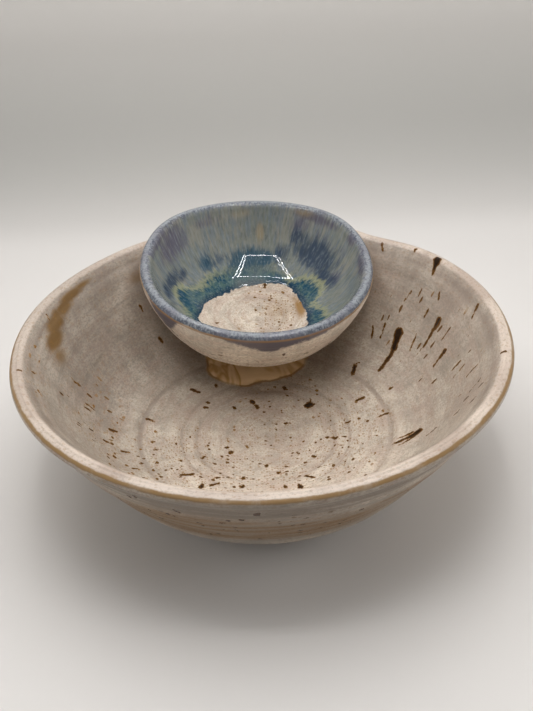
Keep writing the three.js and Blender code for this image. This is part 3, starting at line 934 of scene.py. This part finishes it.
def blue_glaze():
    s = Shader("streaked_blue_glaze")
    cream, spots = oatmeal(s)
    here = s.place()
    from_lip = s.attribute("from_lip")
    streak = s.streaks(0.1, 2.2, 4, 0.68)
    fine = s.streaks(0.12, 0.9, 3, 0.65)
    cloud = s.streaks(0.5, 15, 4, 0.6, 0.6)
    sway = s.add(s.swing(streak, 1.6), s.swing(cloud, 1.2))

    colour = s.mix(s.ease(cloud, 0.38, 0.62), GREY_GREEN, OLIVE)
    colour = s.lay(colour, GREY_BLUE, streak, 0.42, 0.62, 0.75)
    for name, tone, strength in (("mauve", MAUVE, 0.85), ("ochre", OCHRE, 0.6), ("teal", TEAL, 0.85),
                                 ("navy", NAVY, 0.85)):
        weight = s.add(s.attribute(name), s.times(sway, 0.6))
        colour = s.mix(s.times(s.ease(weight, 0.2, 0.85), strength), colour, tone)
    feather = s.add(s.add(s.attribute("band"), s.swing(streak, 16)), s.swing(cloud, 6))
    under = s.mix(s.ease(s.add(streak, s.times(cloud, 0.5)), 0.62, 0.88), TEAL, SEA_GREEN)
    under = s.mix(s.ease(s.attribute("patch"), 6, 1, 0, 0.8), under, DEEP_TEAL)
    strength = s.attribute("band_strength")
    covered = s.times(s.ease(feather, 1.5, -2.5), s.ease(strength, 0, 0.6, 0.55, 1))
    colour = s.mix(covered, colour, under)
    colour = s.mix(s.times(s.between(feather, -2.6, 1.8, 2.4), strength), colour, YELLOW_GREEN)
    colour = s.lay(colour, STREAK_PALE, fine, 0.5, 0.7, 0.3)
    colour = s.lay(colour, STREAK_DARK, fine, 0.48, 0.3, 0.35)

    patch = s.add(s.attribute("patch"), s.swing(s.noise(here, 5, 5, 0.65), 6))
    colour = s.lay(colour, cream, patch, 0.35, -0.25)
    crystals = s.streaks(0.5, 0.8, 4, 0.75)
    # Painted highlight: the frost is made lighter along the crest of the rim
    crest_highlight = s.between(s.add(from_lip, s.swing(crystals, 3)), -0.8, 1.8, 1)
    rim = s.mix(s.ease(s.add(crystals, s.times(crest_highlight, 0.14)), 0.42, 0.68), FROST_DARK, FROST)
    tinge = s.streaks(0.4, 12, 3)
    rim = s.lay(rim, MAUVE, tinge, 0.5, 0.66, 0.4)
    reach = s.add(from_lip, s.swing(streak, 9))
    colour = s.mix(s.times(s.between(reach, -2.6, 6, 2), 0.88), colour, rim)
    outside = s.ease(s.add(from_lip, s.swing(s.noise(here, 5, 2), 1.2)), 3.9, 4.5)
    drip = s.add(s.attribute("drip"), s.swing(s.streaks(0.4, 2.6, 5, 0.7), 8))
    run = s.mix(s.ease(tinge, 0.4, 0.6), DRIP, DRIP_DARK)
    drips = s.mix(s.ease(drip, -1.6, 2.2), s.tint(cream, COOLER), run)
    iron = s.times(s.between(from_lip, 4.3, 5.4, 0.4), s.ease(tinge, 0.35, 0.6, 0.45, 0.95))
    colour = s.mix(outside, colour, s.mix(iron, drips, DRIP_IRON))

    wet = s.between(from_lip, -6, 4, 3)
    normal = s.bump(s.noise(here, 6, 2), 0.06, 0.1)
    normal = s.bump(s.times(crystals, wet), 0.4, 0.2, normal)
    gloss = s.ease(wet, 0, 1, 0.02, 0.16)
    gloss = s.mix(outside, gloss, (0.34,) * 3)
    return s.finish(colour, gloss, normal, {"IOR": 1.52})


# ---- The four pieces ----
def hand_over(piece, node, material):
    piece.data.materials.clear()
    piece.data.materials.append(material)
    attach(piece, "root")
    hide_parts(node)


cream = cream_glaze()
blue = blue_glaze()
chip_shape = make_chip_bowl()
dip_shape = make_dip_bowl()
chip_bowl = add_object("chip_bowl_glazed", make_chip_mesh(chip_shape), CHIP_PLACE)
dip_bowl = add_object("dip_bowl_glazed", make_dip_mesh(dip_shape), DIP_PLACE)
notch = make_notch_cutter(dip_shape, 2.5 * MM)
cut(chip_bowl, notch)
bpy.data.objects.remove(notch)
# Each seam's tone follows the chip bowl beside it: painted shade inside, painted light outside
inside_seam = make_seam("inside_seam_glazed", dip_shape, ChipSkin(chip_shape, False), 6 * MM, 0.4, 0.8)
outside_seam = make_seam("outside_seam_glazed", dip_shape, ChipSkin(chip_shape, True), 5 * MM, 0.15, 1.05)
for piece, node, slot, glaze in (
    (chip_bowl, "chip_bowl", "cream_glaze", cream),
    (dip_bowl, "dip_bowl", "blue_glaze", blue),
    (inside_seam, "inside_seam", "seam_glaze", cream),
    (outside_seam, "outside_seam", "seam_glaze", cream),
):
    hand_over(piece, node, glaze)


# ---- Stage, light and camera ----
PAPER = (0.635, 0.612, 0.59)
SHADED_PAPER = (0.365, 0.355, 0.335)
PAPER_TOP = (0.52, 0.50, 0.475)
SWEEP_START = 0.31
SWEEP_RADIUS = 0.12
BACKDROP_FRONT = SWEEP_START - 0.05
FLOOR_HALF_WIDTH = 3.0
FLOOR_REACH = 3.0
PAPER_THICKNESS = 0.3 * MM
BACKDROP_TOP = 2.0
SWEEP_STEPS = 16


def paper(name, shaded):
    """Matt paper. The backdrop's paper has painted shade up its sweep, lighter again higher up,
    and shows only its front, so that the object can be seen from behind it as well."""
    s = Shader(name)
    colour = PAPER
    if shaded:
        spot = s.node("SeparateXYZ", {}, {0: s.place()}).outputs
        # Painted shade up the sweep, and lighter paper higher up
        colour = s.mix(s.ease(spot[1], BACKDROP_FRONT, SWEEP_START + 0.1), PAPER, SHADED_PAPER)
        colour = s.mix(s.ease(spot[2], 0.04, 0.17), colour, PAPER_TOP)
    normal = s.bump(s.noise(s.place(), 1.5, 2.0), 0.2, 0.05)
    material = s.finish(colour, 0.8, normal, {"Specular IOR Level": 0.2})
    if shaded:
        behind = s.node("NewGeometry", {}, {}).outputs["Backfacing"]
        clear = s.node("BsdfTransparent", {}, {}).outputs[0]
        sides = {0: behind, 1: s.surface.outputs[0], 2: clear}
        sheet = s.node("MixShader", {}, sides).outputs[0]
        s.feed(s.tree.nodes["Material Output"].inputs["Surface"], sheet)
    return material


def make_sheet(name, line, material):
    """A wide sheet that follows the given (y, z) line."""
    verts = [(x, y, z) for y, z in line for x in (-FLOOR_HALF_WIDTH, FLOOR_HALF_WIDTH)]
    faces = [(2 * i, 2 * i + 1, 2 * i + 3, 2 * i + 2) for i in range(len(line) - 1)]
    mesh = bpy.data.meshes.new(name)
    mesh.from_pydata(verts, [], faces)
    mesh.shade_smooth()
    sheet = add_object(name, mesh)
    sheet.data.materials.append(material)


def make_floor():
    make_sheet("floor", [(-FLOOR_REACH, 0), (FLOOR_REACH, 0)], paper("floor_paper", False))
    line = [(BACKDROP_FRONT, PAPER_THICKNESS), (SWEEP_START, PAPER_THICKNESS)]
    for k in range(1, SWEEP_STEPS + 1):
        bend = math.pi / 2 * k / SWEEP_STEPS
        line.append((SWEEP_START + SWEEP_RADIUS * math.sin(bend), SWEEP_RADIUS * (1 - math.cos(bend))))
    line.append((SWEEP_START + SWEEP_RADIUS, BACKDROP_TOP))
    make_sheet("backdrop", line, paper("backdrop_paper", True))


def area_light(name, size, position, aim, power):
    light = bpy.data.lights.new(name, "AREA")
    light.shape = "RECTANGLE"
    light.size, light.size_y = size
    light.energy = power
    lamp = bpy.data.objects.new(name, light)
    lamp.location = position
    lamp.rotation_euler = (Vector(aim) - Vector(position)).to_track_quat("-Z", "Y").to_euler()
    bpy.context.scene.collection.objects.link(lamp)
    return lamp


STRIP_WIDTH = 3 * MM
STRIP_GAP = 18 * MM
STRIP_POWER = 0.14
STRIP_HEIGHT = RIM_HEIGHT + 0.35
LAMP_PITCH = 15 * MM
PANEL_SPOT = (-0.03, 0.03)
PANEL_HEIGHT = 0.62
PANEL_SIZE = 0.6
PANEL_POWER = 3.16
SIDE_LIGHTS = ((-1, 1.9), (1, 3.0))
SIDE_DISTANCE = 0.8
SIDE_HEIGHT = 0.25
WORLD_COLOUR = (1.0, 0.985, 0.965, 1)
WORLD_STRENGTH = 0.22


def dotted(lamp, axis, length):
    """Small lamps in a row along the strip, in place of one even glow."""
    light = lamp.data
    light.use_nodes = True
    tree = light.node_tree

    def step(operation, value, *constants):
        node = tree.nodes.new("ShaderNodeMath")
        node.operation = operation
        tree.links.new(value, node.inputs[0])
        for socket, constant in zip(list(node.inputs)[1:], constants):
            socket.default_value = constant
        return node.outputs[0]

    where = tree.nodes.new("ShaderNodeNewGeometry").outputs["Parametric"]
    parts = tree.nodes.new("ShaderNodeSeparateXYZ")
    tree.links.new(where, parts.inputs[0])
    wave = step("PINGPONG", step("MULTIPLY", parts.outputs[axis], length / LAMP_PITCH), 0.5)
    level = step("MULTIPLY_ADD", step("GREATER_THAN", wave, 0.3), 2.2, 0.05)
    tree.links.new(level, tree.nodes["Emission"].inputs["Strength"])


def make_strips():
    """Two rows of small lamps on a frame above the bowls, the outer one open at the far side."""
    left, right, near, far = -0.12, 0.096, -0.155, 0.125
    middle = ((left + right) / 2, (near + far) / 2)
    for row in (0, 1):
        grow = row * STRIP_GAP
        wide, deep = right - left + 2 * grow, far - near + 2 * grow
        for name, spot, size, axis in (
            ("near", (middle[0], near - grow), (wide, STRIP_WIDTH), 0),
            ("far", (middle[0], far + grow), (wide, STRIP_WIDTH), 0),
            ("left", (left - grow, middle[1]), (STRIP_WIDTH, deep), 1),
            ("right", (right + grow, middle[1]), (STRIP_WIDTH, deep), 1),
        ):
            if name == "far" and row == 1:
                continue
            place = (*spot, STRIP_HEIGHT)
            lamp = area_light(f"strip_{name}_{row}", size, place, (*spot, 0), STRIP_POWER)
            lamp.rotation_euler = (0, 0, 0)
            dotted(lamp, axis, max(size))


def make_lights():
    make_strips()
    panel = area_light("panel", (PANEL_SIZE, PANEL_SIZE), (*PANEL_SPOT, PANEL_HEIGHT), (*PANEL_SPOT, 0),
                       PANEL_POWER)
    panel.visible_glossy = False
    for side, power in SIDE_LIGHTS:
        place = (side * SIDE_DISTANCE, 0, SIDE_HEIGHT)
        wall = area_light(f"wall_{side}", (0.5, 0.4), place, (0, 0, 0.03), power)
        wall.visible_glossy = False
    world = bpy.data.worlds.new("studio")
    bpy.context.scene.world = world
    world.use_nodes = True
    background = world.node_tree.nodes["Background"]
    background.inputs["Color"].default_value = WORLD_COLOUR
    background.inputs["Strength"].default_value = WORLD_STRENGTH


def make_camera():
    pitch = math.radians(34.93)
    yaw = math.radians(0.33)
    roll = math.radians(-2.57)
    back, above = 3.3148 * RIM_RADIUS, 2.2042 * RIM_RADIUS
    spot = CHIP_AXIS + Vector((0, -back, RIM_HEIGHT + above))
    forward = Vector((math.sin(yaw) * math.cos(pitch), math.cos(yaw) * math.cos(pitch), -math.sin(pitch)))
    level = forward.cross(Vector((0, 0, 1))).normalized()
    upright = level.cross(forward)
    right = level * math.cos(roll) + upright * math.sin(roll)
    up = upright * math.cos(roll) - level * math.sin(roll)
    data = bpy.data.cameras.new("camera")
    data.lens = 50
    data.sensor_width = 36
    camera = bpy.data.objects.new("camera", data)
    camera.matrix_world = Matrix.Translation(spot) @ Matrix((right, up, -forward)).transposed().to_4x4()
    bpy.context.scene.collection.objects.link(camera)
    bpy.context.scene.camera = camera


make_floor()
make_lights()
make_camera()
bpy.context.scene.view_settings.view_transform = "Standard"
